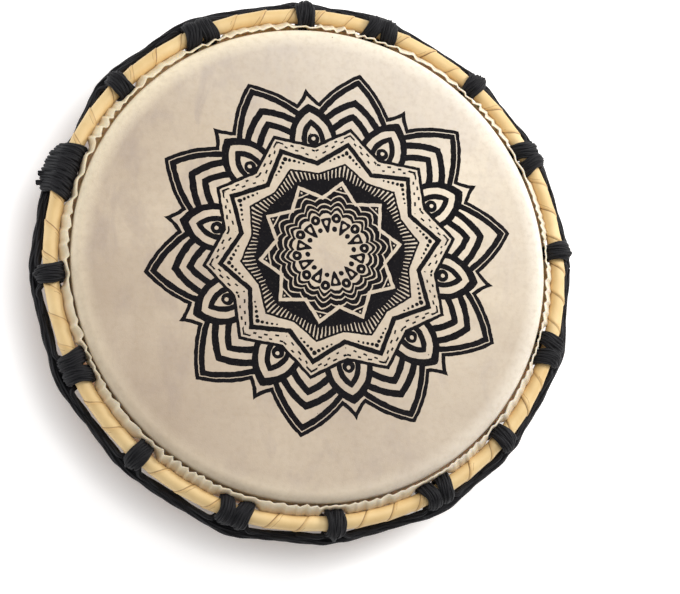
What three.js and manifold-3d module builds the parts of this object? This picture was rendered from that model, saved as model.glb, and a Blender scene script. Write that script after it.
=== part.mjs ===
import * as THREE from 'three';
import { mergeVertices } from 'three/addons/utils/BufferGeometryUtils.js';
import Module from 'manifold-3d';

const wasm = await Module();
wasm.setup();

// A frame drum that lies on its open back with the painted head up, in millimetres.
// The origin is on the drum's axis at the rear edge of the wooden shell, with +Z out of the head.

// Driving dimensions
const drumHeight = 62;
const shellOuterRadius = 138.6;
const shellWall = 9;
const rearEdgeRounding = 1.5;
const hideThickness = 1;
const shoulderRounding = 6;
const skirtDepth = 20;
const hoopTubeRadius = 4.6;
const hoopDepthBelowHead = 11;
const ropeDiameter = 4;
const beltWidth = 5.6;
const beltOutsideHoop = 8.4;
const beltBehindHoop = 8.3;
const centreRingRadius = 24;
const centreRingTubeRadius = 4;

// Clearances between pieces that touch, and round each cord in its notch
const fitGap = 0.3;
const beltGap = 0.4;
const notchTopClearance = 1.8;
const notchSideClearance = 0.5;

// The trimmed edge of the hide stands up between the head and the hoop, in uneven ruffles.
// They are two sets of waves round the drum, the second one lower and slower
const flapTopBelowHead = 3.7;
const flapTopLean = 1.2;
const ruffleHeight = 0.44;
const slowRuffleHeight = 0.26;
const ruffleWaves = 31;
const slowRuffleWaves = 18;
const slowRuffleStart = 115;

// Rope hitches round the hoop, counted anticlockwise from +X seen from the head side.
// They alternate between a narrow hitch and a double one; the rope's ends are wound off at one of them.
const hitchAngles = [
  5.6, 28.4, 48.9, 73.9, 91.8, 116.8, 138.9, 161.2,
  185.2, 206.4, 229.2, 253.1, 275.2, 299.5, 319.1, 342.3,
];
const endWrapIndex = 7;
const narrowTurns = 3;
const doubleTurns = 6;
const endWrapTurns = 9;
const innerSqueeze = 0.8;

// The hoop is a little out of round: each swell has a place, a width and a height
const hoopSwells = [
  { angle: 150, width: 14, height: 0.7 },
  { angle: 200, width: 11, height: -0.7 },
  { angle: 254, width: 14, height: 0.8 },
];

// Facets
const roundSegments = 64;
const centreRingSegments = 32;
const tubeSides = 8;
const shoulderSteps = 3;
const cordBendSteps = 2;
const weldDistance = 0.0001;

// Worked out from the sizes above
const ropeRadius = ropeDiameter / 2;
const shellInnerRadius = shellOuterRadius - shellWall;
const skirtInnerRadius = shellOuterRadius + fitGap;
const skirtOuterRadius = skirtInnerRadius + hideThickness;
const flapInnerRadius = skirtOuterRadius + fitGap;
const flapOuterRadius = flapInnerRadius + hideThickness;
const hitchInnerRadius = hoopTubeRadius + fitGap;
const hitchOuterRadius = hitchInnerRadius + ropeDiameter;
const hoopRadius = flapOuterRadius + fitGap + hitchOuterRadius;
const hoopHeight = drumHeight - hoopDepthBelowHead;
const beltRadius = hoopRadius + beltOutsideHoop;
const beltHeight = hoopHeight - beltBehindHoop;
const beltSleeveRadius = beltWidth / 2 + 2 * beltGap;
const notchDepth = ropeDiameter + notchTopClearance;
const notchWidth = ropeDiameter + 2 * notchSideClearance;
const cordHeight = notchDepth - ropeRadius - beltGap;

const degrees = Math.PI / 180;

function wood(colour) {
  return new THREE.MeshStandardMaterial({ color: colour, roughness: 0.6, metalness: 0 });
}

function hide(colour) {
  return new THREE.MeshStandardMaterial({ color: colour, roughness: 0.55, metalness: 0 });
}

function rope(colour) {
  return new THREE.MeshStandardMaterial({ color: colour, roughness: 0.7, metalness: 0 });
}

// Solids by boolean cuts

function toManifold(geometry) {
  const bare = geometry.clone();
  bare.deleteAttribute('normal');
  bare.deleteAttribute('uv');
  const merged = mergeVertices(bare, weldDistance);
  return new wasm.Manifold(new wasm.Mesh({
    numProp: 3,
    vertProperties: new Float32Array(merged.attributes.position.array),
    triVerts: new Uint32Array(merged.index.array),
  }));
}

function toGeometry(solid) {
  const mesh = solid.getMesh();
  const geometry = new THREE.BufferGeometry();
  geometry.setAttribute('position', new THREE.BufferAttribute(new Float32Array(mesh.vertProperties), 3));
  geometry.setIndex(new THREE.BufferAttribute(new Uint32Array(mesh.triVerts), 1));
  return geometry;
}

// Helpers for round shapes

function arcPoints(centreRadius, centreHeight, radius, startDegrees, endDegrees, steps = shoulderSteps) {
  const points = [];
  for (let step = 0; step <= steps; step += 1) {
    const angle = (startDegrees + (endDegrees - startDegrees) * step / steps) * degrees;
    points.push(new THREE.Vector2(
      centreRadius + radius * Math.cos(angle),
      centreHeight + radius * Math.sin(angle),
    ));
  }
  return points;
}

// A profile of (radius, height) points turned round the drum's axis, which is +Z here
function turned(profile, segments) {
  const geometry = new THREE.LatheGeometry(profile, segments);
  geometry.rotateX(Math.PI / 2);
  return geometry;
}

function moveVertices(geometry, move) {
  const positions = geometry.attributes.position;
  const point = new THREE.Vector3();
  for (let index = 0; index < positions.count; index += 1) {
    point.fromBufferAttribute(positions, index);
    move(point);
    positions.setXYZ(index, point.x, point.y, point.z);
  }
  return geometry;
}

function angleBetween(first, second) {
  const difference = (first - second) % 360;
  if (difference > 180) {
    return difference - 360;
  }
  return difference < -180 ? difference + 360 : difference;
}

function hoopSwell(angleDegrees) {
  let swell = 0;
  for (const { angle, width, height } of hoopSwells) {
    swell += height * Math.exp(-((angleBetween(angleDegrees, angle) / width) ** 2));
  }
  return swell;
}

// A route through given points, with even steps from one point to the next
class Route extends THREE.Curve {
  constructor(points, isClosed) {
    super();
    this.points = points;
    this.isClosed = isClosed;
    this.spans = isClosed ? points.length : points.length - 1;
  }

  getPoint(share, target = new THREE.Vector3()) {
    const place = share * this.spans;
    const first = Math.min(Math.floor(place), this.spans - 1);
    const start = this.points[first];
    const end = this.points[(first + 1) % this.points.length];
    return target.lerpVectors(start, end, place - first);
  }

  getPointAt(share, target) {
    return this.getPoint(share, target);
  }

  getTangentAt(share, target = new THREE.Vector3()) {
    const count = this.points.length;
    const here = Math.round(share * this.spans);
    const before = this.isClosed ? (here - 1 + count) % count : Math.max(here - 1, 0);
    const after = this.isClosed ? (here + 1) % count : Math.min(here + 1, count - 1);
    const middle = this.points[here % count];
    const incoming = middle.clone().sub(this.points[before]).normalize();
    const outgoing = this.points[after].clone().sub(middle).normalize();
    return target.addVectors(incoming, outgoing).normalize();
  }
}

function ovalSection(halfWidth, halfHeight) {
  const points = [];
  for (let side = 0; side < tubeSides; side += 1) {
    const angle = (side + 0.5) * 2 * Math.PI / tubeSides;
    points.push(new THREE.Vector2(halfWidth * Math.cos(angle), halfHeight * Math.sin(angle)));
  }
  return new THREE.Shape(points);
}

// Wooden shell: a ring with a rounded bearing edge, and a notch in its rear edge for each cord

function shellProfile() {
  const shoulderCentre = shellOuterRadius - shoulderRounding + hideThickness + fitGap;
  const bearingRounding = shellOuterRadius - shoulderCentre;
  const topHeight = drumHeight - hideThickness - fitGap;
  return [
    new THREE.Vector2(shellInnerRadius, rearEdgeRounding),
    new THREE.Vector2(shellInnerRadius + rearEdgeRounding, 0),
    new THREE.Vector2(shellOuterRadius - rearEdgeRounding, 0),
    new THREE.Vector2(shellOuterRadius, rearEdgeRounding),
    ...arcPoints(shoulderCentre, topHeight - bearingRounding, bearingRounding, 0, 90),
    new THREE.Vector2(shellInnerRadius + rearEdgeRounding, topHeight),
    new THREE.Vector2(shellInnerRadius, topHeight - rearEdgeRounding),
    new THREE.Vector2(shellInnerRadius, rearEdgeRounding),
  ];
}

function cordNotch(angleDegrees) {
  const length = shellWall * 2;
  const notch = new THREE.BoxGeometry(length, notchWidth, notchDepth * 2);
  notch.translate(shellOuterRadius - shellWall / 2, 0, 0);
  notch.rotateZ(angleDegrees * degrees);
  return notch;
}

function shellGeometry() {
  let solid = toManifold(turned(shellProfile(), roundSegments));
  for (const angle of hitchAngles) {
    solid = solid.subtract(toManifold(cordNotch(angle)));
  }
  return toGeometry(solid);
}

// Hide: the playing face, its rounded shoulder, the skirt down the shell and the flap turned up outside it

function headProfile() {
  const shoulderCentre = skirtOuterRadius - shoulderRounding;
  const shoulderHeight = drumHeight - shoulderRounding;
  const skirtHeight = drumHeight - skirtDepth;
  const flapTopHeight = drumHeight - flapTopBelowHead;
  const faceUnderside = drumHeight - hideThickness;
  return [
    new THREE.Vector2(0, faceUnderside),
    ...arcPoints(shoulderCentre, shoulderHeight, shoulderRounding - hideThickness, 90, 0),
    new THREE.Vector2(skirtInnerRadius, skirtHeight),
    new THREE.Vector2(flapInnerRadius, skirtHeight),
    new THREE.Vector2(flapOuterRadius, skirtHeight + hideThickness),
    new THREE.Vector2(flapOuterRadius, hoopHeight),
    new THREE.Vector2(flapOuterRadius + flapTopLean, flapTopHeight),
    new THREE.Vector2(flapInnerRadius + flapTopLean, flapTopHeight),
    new THREE.Vector2(flapInnerRadius, hoopHeight),
    new THREE.Vector2(flapInnerRadius, skirtHeight + hideThickness),
    new THREE.Vector2(skirtOuterRadius, skirtHeight + hideThickness),
    ...arcPoints(shoulderCentre, shoulderHeight, shoulderRounding, 0, 90),
    new THREE.Vector2(0, drumHeight),
  ];
}

// How far the flap's top stands out at an angle; it gives way where the hoop runs closer in
function ruffle(angleDegrees) {
  const quick = ruffleHeight * Math.sin(ruffleWaves * angleDegrees * degrees);
  const slow = slowRuffleHeight * Math.sin((slowRuffleWaves * angleDegrees + slowRuffleStart) * degrees);
  return quick + slow + Math.min(hoopSwell(angleDegrees), 0);
}

function headGeometry() {
  const geometry = turned(headProfile(), roundSegments);
  return moveVertices(geometry, (point) => {
    const radius = Math.hypot(point.x, point.y);
    const rise = (point.z - hoopHeight) / (drumHeight - flapTopBelowHead - hoopHeight);
    if (radius > flapInnerRadius + fitGap && rise > 0) {
      const angle = Math.atan2(point.y, point.x) / degrees;
      const scale = (radius + ruffle(angle) * rise) / radius;
      point.x *= scale;
      point.y *= scale;
    }
  });
}

// Wound hoop: a plain ring that stands for the ring and the strip wound round it

function ringProfile(radius, height, tubeRadius) {
  const points = [];
  for (let side = 0; side <= tubeSides; side += 1) {
    const angle = side * 2 * Math.PI / tubeSides;
    points.push(new THREE.Vector2(
      radius + tubeRadius * Math.cos(angle),
      height + tubeRadius * Math.sin(angle),
    ));
  }
  return points;
}

function swellRadially(point) {
  const radius = Math.hypot(point.x, point.y);
  const scale = 1 + hoopSwell(Math.atan2(point.y, point.x) / degrees) / radius;
  point.x *= scale;
  point.y *= scale;
}

function hoopGeometry() {
  const profile = ringProfile(hoopRadius, hoopHeight, hoopTubeRadius);
  return moveVertices(turned(profile, roundSegments), swellRadially);
}

// Rope hitches: side-by-side turns of rope round the hoop, squeezed where they pass the hide

// Half a section along a straight sleeve: a ridge for each turn, and an inner face in short steps
// so that it can follow the hoop's curve
function turnsProfile(turns) {
  const start = -turns * ropeRadius;
  const valleyRadius = hitchInnerRadius + ropeRadius;
  const points = [new THREE.Vector2(hitchInnerRadius, start)];
  for (let turn = 0; turn < turns; turn += 1) {
    const left = start + turn * ropeDiameter;
    points.push(new THREE.Vector2(valleyRadius, left));
    points.push(new THREE.Vector2(hitchOuterRadius, left + ropeRadius));
  }
  points.push(new THREE.Vector2(valleyRadius, -start));
  for (let turn = turns; turn >= 0; turn -= narrowTurns) {
    points.push(new THREE.Vector2(hitchInnerRadius, start + turn * ropeDiameter));
  }
  return points.reverse();
}

function hitchTurns(index) {
  if (index === endWrapIndex) {
    return endWrapTurns;
  }
  return index % 2 === 0 ? narrowTurns : doubleTurns;
}

// The end wrap binds the belt to the hoop: its sides towards the belt move out to enclose it
function encloseBelt(point, around) {
  const outward = point.x / around;
  const upward = point.z / around;
  const grown = around - hitchInnerRadius + beltSleeveRadius;
  const reach = outward * beltOutsideHoop + upward * beltBehindHoop + grown - around;
  if (reach > 0) {
    point.x = beltOutsideHoop + outward * grown;
    point.z = beltBehindHoop + upward * grown;
  }
}

function hitchGeometry(index) {
  const turns = hitchTurns(index);
  const geometry = new THREE.LatheGeometry(turnsProfile(turns), tubeSides);
  return moveVertices(geometry, (point) => {
    // The straight sleeve runs along y here, and its -x side faces the drumhead
    const around = Math.hypot(point.x, point.z);
    const inwardness = Math.max(-point.x / around, 0);
    const isOutside = around > hitchInnerRadius + fitGap;
    const squeeze = isOutside ? 1 - innerSqueeze * inwardness / around : 1;
    const angle = hitchAngles[index] * degrees + point.y / hoopRadius;
    point.x *= squeeze;
    point.z *= squeeze;
    if (index === endWrapIndex) {
      encloseBelt(point, Math.hypot(point.x, point.z));
    }
    const radius = hoopRadius + hoopSwell(angle / degrees) + point.x;
    point.set(radius * Math.cos(angle), radius * Math.sin(angle), hoopHeight - point.z);
  });
}

// Belt rope: two strands side by side that pass outside each hitch, run straight to the next one
// and are bound to the hoop by the end wrap

function beltGeometry() {
  const points = [];
  hitchAngles.forEach((hitchAngle, index) => {
    const halfLength = hitchTurns(index) * ropeRadius;
    for (const side of [-1, 0, 1]) {
      const angle = hitchAngle * degrees + side * halfLength / hoopRadius;
      const radius = beltRadius + hoopSwell(angle / degrees);
      points.push(new THREE.Vector3(radius * Math.cos(angle), radius * Math.sin(angle), beltHeight));
    }
  });
  return new THREE.ExtrudeGeometry(ovalSection(ropeRadius, beltWidth / 2), {
    steps: points.length,
    extrudePath: new Route(points, true),
  });
}

// Tension cords: each runs from its hitch down the shell, through its notch and in to the centre ring

function cordGeometry(index) {
  const angle = hitchAngles[index] * degrees;
  const wrapDepth = index === endWrapIndex ? beltBehindHoop + beltSleeveRadius - hitchInnerRadius : 0;
  const hitchBottom = hoopHeight - hitchOuterRadius - wrapDepth - beltGap;
  const bendRadius = ropeRadius + beltGap;
  const ringEdge = centreRingRadius + centreRingTubeRadius + fitGap;
  const route = [
    new THREE.Vector2(hoopRadius - ropeRadius, hitchBottom),
    ...arcPoints(shellOuterRadius, notchDepth, bendRadius, 0, -90, cordBendSteps),
    new THREE.Vector2(ringEdge, cordHeight),
  ];
  const points = route.map((place) => new THREE.Vector3(
    place.x * Math.cos(angle),
    place.x * Math.sin(angle),
    place.y,
  ));
  return new THREE.ExtrudeGeometry(ovalSection(ropeRadius, ropeRadius), {
    steps: points.length - 1,
    extrudePath: new Route(points, false),
  });
}

// Centre ring: what the tension cords are drawn to, and the handle at the back

function centreRingGeometry() {
  const height = centreRingTubeRadius + fitGap;
  return turned(ringProfile(centreRingRadius, height, centreRingTubeRadius), centreRingSegments);
}

// The drum

const group = new THREE.Group();

function add(name, geometry, material) {
  const mesh = new THREE.Mesh(geometry, material);
  mesh.name = name;
  group.add(mesh);
}

add('wooden_shell', shellGeometry(), wood(0x9b6b3e));
add('drumhead', headGeometry(), hide(0xd9c8a4));
add('wound_hoop', hoopGeometry(), hide(0xd8bf7c));
add('belt_rope', beltGeometry(), rope(0x1c1b20));
add('centre_ring', centreRingGeometry(), rope(0x1c1b20));
for (let index = 0; index < hitchAngles.length; index += 1) {
  add(`hitch_${index + 1}`, hitchGeometry(index), rope(0x1c1b20));
  add(`tension_cord_${index + 1}`, cordGeometry(index), rope(0x1c1b20));
}

export default group;
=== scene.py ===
import math
import bmesh
import bpy
import numpy as np
from mathutils import Matrix, Vector


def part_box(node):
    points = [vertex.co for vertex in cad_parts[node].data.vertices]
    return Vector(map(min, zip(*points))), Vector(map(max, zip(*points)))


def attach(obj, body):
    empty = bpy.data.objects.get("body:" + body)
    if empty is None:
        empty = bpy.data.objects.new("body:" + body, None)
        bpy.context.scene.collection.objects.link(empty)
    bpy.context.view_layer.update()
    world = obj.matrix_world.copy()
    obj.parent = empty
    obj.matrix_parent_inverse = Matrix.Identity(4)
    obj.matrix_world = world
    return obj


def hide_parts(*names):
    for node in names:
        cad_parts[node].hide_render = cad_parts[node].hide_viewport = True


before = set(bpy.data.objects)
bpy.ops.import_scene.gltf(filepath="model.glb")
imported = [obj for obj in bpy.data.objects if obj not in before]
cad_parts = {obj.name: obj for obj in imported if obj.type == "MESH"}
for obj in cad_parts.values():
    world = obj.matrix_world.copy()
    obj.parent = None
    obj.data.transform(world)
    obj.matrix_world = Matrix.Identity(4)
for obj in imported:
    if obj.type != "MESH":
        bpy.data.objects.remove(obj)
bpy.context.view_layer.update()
print("frame loaded:", len(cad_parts), "nodes")

# sizes that several pieces share, in metres; the drum lies on its open back with the head up
fullTurn = 2 * math.pi
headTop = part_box("drumhead")[1][2]
hoopHeight = headTop - 0.011
hoopRadius = 0.1504
hoopSwells = ((150, 14, 0.0007), (200, 11, -0.0007), (254, 14, 0.0008))  # degrees, width, height
shellRadius = 0.1386
hideOuterRadius = 0.1399
beltRadius = hoopRadius + 0.0084
beltHeight = hoopHeight - 0.0083
cordRadius = 0.00195
notchDepth = 0.0058
hitchAngles = (5.6, 28.4, 48.9, 73.9, 91.8, 116.8, 138.9, 161.2,
               185.2, 206.4, 229.2, 253.1, 275.2, 299.5, 319.1, 342.3)
hitchTurns = [math.radians(degrees) for degrees in hitchAngles]
endWrapIndex = 7
hitchKinds = [("narrow", "double")[index % 2] for index in range(len(hitchAngles))]
hitchKinds[endWrapIndex] = "wrap"


# camera and light

camera = {
    "place": (-0.2406, -0.2533, 1.1588),
    "aim": (0.0147, -0.0212, 0.062),
    "focalPixels": 2000,
    "pictureWidth": 680,
    "sensorWidth": 36,
}

lights = (
    # name, place, size, watts, colour
    ("keyLight", (0.80, 0.42, 0.62), 0.4, 7, (1.0, 0.99, 0.97)),
    ("topLight", (0.35, 0.45, 1.7), 1.2, 11, (1.0, 0.99, 0.98)),
    ("fillLight", (-1.0, 0.25, 0.4), 0.8, 3.5, (0.97, 0.98, 1.0)),
)
skyColour = (0.44, 0.44, 0.44, 1)


def pointAt(place, aim, upward):
    ahead = (Vector(aim) - Vector(place)).normalized()
    right = ahead.cross(Vector(upward)).normalized()
    above = right.cross(ahead)
    turn = Matrix((right, above, -ahead)).transposed().to_4x4()
    return Matrix.Translation(place) @ turn


def addCamera():
    data = bpy.data.cameras.new("photoCamera")
    data.sensor_width = camera["sensorWidth"]
    data.lens = camera["focalPixels"] / camera["pictureWidth"] * camera["sensorWidth"]
    data.clip_start = 0.01
    item = bpy.data.objects.new("photoCamera", data)
    item.matrix_world = pointAt(camera["place"], camera["aim"], (0, 1, 0))
    bpy.context.collection.objects.link(item)
    bpy.context.scene.camera = item


def addLights():
    for name, place, size, watts, colour in lights:
        data = bpy.data.lights.new(name, "AREA")
        data.shape = "DISK"
        data.size = size
        data.energy = watts
        data.color = colour
        item = bpy.data.objects.new(name, data)
        item.matrix_world = pointAt(place, (0, 0, headTop / 2), (0, 1, 0.01))
        bpy.context.collection.objects.link(item)


def addSky():
    sky = bpy.data.worlds.new("paleStudio")
    sky.use_nodes = True
    sky.node_tree.nodes["Background"].inputs["Color"].default_value = skyColour
    bpy.context.scene.world = sky
    bpy.context.scene.view_settings.view_transform = "Standard"


addCamera()
addLights()
addSky()
print("camera and lights placed")


# node helpers

def paint(red, green, blue):
    # a colour as read from a picture, made linear
    def linear(value):
        share = value / 255
        return share / 12.92 if share <= 0.04045 else ((share + 0.055) / 1.055) ** 2.4
    return (linear(red), linear(green), linear(blue), 1)


def feed(tree, socket, value):
    # a field or another node's output is linked, and a plain value is set
    if isinstance(value, Field):
        value = value.socket
    if isinstance(value, bpy.types.NodeSocket):
        tree.links.new(value, socket)
    else:
        socket.default_value = value


def newNode(tree, kind, values=None, **settings):
    # values go to inputs, by name or by number
    node = tree.nodes.new(kind)
    for name, value in settings.items():
        setattr(node, name, value)
    for name, value in (values or {}).items():
        feed(tree, node.inputs[name], value)
    return node


class Field:
    # a number that changes over the surface, so that sums read as sums
    def __init__(self, tree, socket):
        self.tree = tree
        self.socket = socket

    def math(self, operation, *others):
        values = dict(enumerate((self,) + others))
        node = newNode(self.tree, "ShaderNodeMath", values, operation=operation)
        return Field(self.tree, node.outputs[0])

    def __add__(self, other):
        return self.math("ADD", other)

    def __sub__(self, other):
        return self.math("SUBTRACT", other)

    def __mul__(self, other):
        return self.math("MULTIPLY", other)

    def within(self, low, high):
        # 1 where the number lies between low and high, 0 elsewhere
        return self.math("COMPARE", (low + high) / 2, (high - low) / 2)

    def below(self, limit):
        return self.math("LESS_THAN", limit)

    def above(self, limit):
        return self.math("GREATER_THAN", limit)

    def either(self, other):
        return self.math("MAXIMUM", other)

    def both(self, other):
        return self * other

    def reversed(self):
        return self.math("MULTIPLY_ADD", -1.0, 1.0)

    def without(self, other):
        return self.both(other.reversed())

    def length(self, other):
        return (self * self + other * other).math("SQRT")

    def remap(self, low, high, newLow=0, newHigh=1):
        node = newNode(self.tree, "ShaderNodeMapRange", {
            "Value": self, "From Min": low, "From Max": high, "To Min": newLow, "To Max": newHigh})
        return Field(self.tree, node.outputs[0])


def axesOf(tree, vector):
    node = newNode(tree, "ShaderNodeSeparateXYZ", {0: vector})
    return [Field(tree, output) for output in node.outputs]


def vectorMath(tree, operation, *values, **named):
    values = {**dict(enumerate(values)), **named}
    return newNode(tree, "ShaderNodeVectorMath", values, operation=operation).outputs[0]


def stretched(tree, place, scale, move=(0, 0, 0)):
    return newNode(tree, "ShaderNodeMapping", {
        "Vector": place, "Scale": scale, "Location": move}).outputs[0]


def noiseField(tree, place, scale, detail=3, roughness=0.5, distortion=0):
    node = newNode(tree, "ShaderNodeTexNoise", {
        "Vector": place, "Scale": scale, "Detail": detail,
        "Roughness": roughness, "Distortion": distortion})
    return Field(tree, node.outputs["Fac"])


def mixColour(tree, share, first, second):
    return newNode(tree, "ShaderNodeMix", {0: share, 6: first, 7: second},
                   data_type="RGBA").outputs[2]


def attributeOf(tree, name):
    return newNode(tree, "ShaderNodeAttribute", attribute_name=name).outputs


def newGroup(kind, name, inputs, outputs):
    group = bpy.data.node_groups.new(name, kind)
    for direction, sockets in (("INPUT", inputs), ("OUTPUT", outputs)):
        for label, socketKind, value in sockets:
            socket = group.interface.new_socket(
                name=label, in_out=direction, socket_type="NodeSocket" + socketKind)
            if value is not None:
                socket.default_value = value
    return group, newNode(group, "NodeGroupInput").outputs, newNode(group, "NodeGroupOutput").inputs


class Look:
    # a material in the making: colours are laid over its base one after the other
    def __init__(self, name):
        self.material = bpy.data.materials.new(name)
        self.material.use_nodes = True
        self.tree = self.material.node_tree
        self.shader = self.tree.nodes["Principled BSDF"]
        self.place = newNode(self.tree, "ShaderNodeTexCoord").outputs["Object"]
        self.base = None

    def noise(self, *settings):
        return noiseField(self.tree, self.place, *settings)

    def start(self, share, first, second):
        self.base = mixColour(self.tree, share, first, second)

    def cover(self, share, colour):
        self.base = mixColour(self.tree, share, self.base, colour)

    def grain(self, cloudScale, poreScale):
        outputs = newNode(self.tree, "ShaderNodeGroup", {
            "Place": self.place, "Cloud Scale": cloudScale, "Pore Scale": poreScale},
            node_tree=hideGrain).outputs
        return [Field(self.tree, outputs[name]) for name in ("Clouds", "Pores", "Height")]

    def set(self, values):
        for name, value in values.items():
            feed(self.tree, self.shader.inputs[name], value)

    def finish(self, rough, relief, strength, distance):
        bump = newNode(self.tree, "ShaderNodeBump", {
            "Height": relief, "Strength": strength, "Distance": distance})
        self.set({"Base Color": self.base, "Roughness": rough, "Normal": bump.outputs[0]})
        return self.material


def hideGrainGroup():
    # clouds, pores and creases that skin shows on the head and on the hoop's strip alike
    group, start, end = newGroup(
        "ShaderNodeTree", "hideGrain",
        (("Place", "Vector", None), ("Cloud Scale", "Float", 18.0), ("Pore Scale", "Float", 900.0),
         ("Crease Scale", "Float", 420.0)),
        (("Clouds", "Float", None), ("Pores", "Float", None), ("Height", "Float", None)))
    place = start["Place"]
    clouds = noiseField(group, place, start["Cloud Scale"], 5, 0.6, 0.4)
    pores = newNode(group, "ShaderNodeTexVoronoi", {"Vector": place, "Scale": start["Pore Scale"]})
    poreDepth = Field(group, pores.outputs["Distance"]).remap(0.0, 0.5)
    creases = noiseField(group, place, start["Crease Scale"], 4, 0.65, 0.8)
    feed(group, end["Clouds"], clouds)
    feed(group, end["Pores"], poreDepth)
    feed(group, end["Height"], poreDepth * 0.35 + creases * 0.65)
    return group


hideGrain = hideGrainGroup()
cloudRange = (0.35, 0.68)  # where the grain's clouds begin and are full


# the printed lotus, as a mask of ink worked out from one petal's half; its lengths are shares
# of the tips' radius, a band is (low, high) and an arc is (centre x, centre y, radius)

lotus = {
    "centre": (0.0093, 0.0051),
    "tipRadius": 0.1096,
    "tipDegrees": 8.91,
    "petals": 10,
    "wobble": 0.0055,
    "wobbleScale": 26.0,
    # petals, the spikes between them and the chevrons inside them
    "petalArc": (0.461, -0.364, 0.65),
    "petalLine": (-0.056, -0.0252),
    "spikeArc": (1.017, 0.246, 0.2724),
    "spikeEnd": 0.9,
    "outline": (-0.0205, 0.001),
    "chevronArc": (0.473, -0.178, 0.42),
    "chevrons": ((-0.036, 0), (-0.103, -0.068)),
    # buds: tip and half width of each pointed arch, from the border inward, and the eye
    "archBase": 0.61,
    "arches": ((0.815, 0.130), (0.766, 0.098), (0.728, 0.065), (0.692, 0.035)),
    "eye": (0.616, 0, 0.033),
    "eyeLight": (0.62, 0, 0.0105),
    # zigzag rings with their dashes and dots
    "zigzagSlope": 0.74,
    "steepSlope": 0.908,
    "zigzagLimit": 0.691,
    "zigzagLine": (0.669, 0.691),
    "steepLine": (0.579, 0.613),
    "peakLine": (0.645, 0.657),
    "peakWidth": 0.030,
    "dashStep": 0.058,
    "dashHalf": (0.0096, 0.0064),
    "dashShift": 0.012,
    "dashDepths": (0.650, 0.638),
    "dashStart": 0.045,
    "dashUneven": 0.016,
    "dotDepth": 0.549,
    "dotStep": 0.0255,
    "dotSize": 0.0108,
    "dotShrink": -0.05,
    "dotRun": (0.0125, 0.114),
    "peakDot": 0.0118,
    # the dark star with its pale strokes
    "starSlope": 0.6,
    "innerSlope": 1.084,
    "starLimit": 0.492,
    "innerLimit": 0.393,
    "strokesPerPetal": 13,
    "strokeTaper": (-0.08, 0.010, -0.0280),
    "strokeStart": 0.388,
    "strokeLean": -0.115,
    "strokeUneven": 0.05,
    "strokeEnd": 0.479,
    # scallops, triangles, rings, hearts and dots towards the middle
    "middle": 0.367,
    "scallop": (0.022, 0.055, 0.204),
    "scallopLines": (0.2265, 0.2545, 0.288),
    "scallopHalf": 0.0037,
    "triangleTop": 0.331,
    "triangleLine": (0.3275, 0.3345),
    "triangleWidth": 0.036,
    "triangleDot": (0.349, 0, 0.0048),
    "ringPlace": (0.184, 0, 0.0),
    "ring": (0.0070, 0.0262),
    "heart": (0.102, -0.32, 0.95, 0.178, 0.024),
    "heartLine": (-0.0055, 0.0066),
    "middleDot": (0.1255, 0, 0.0135),
}


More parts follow.
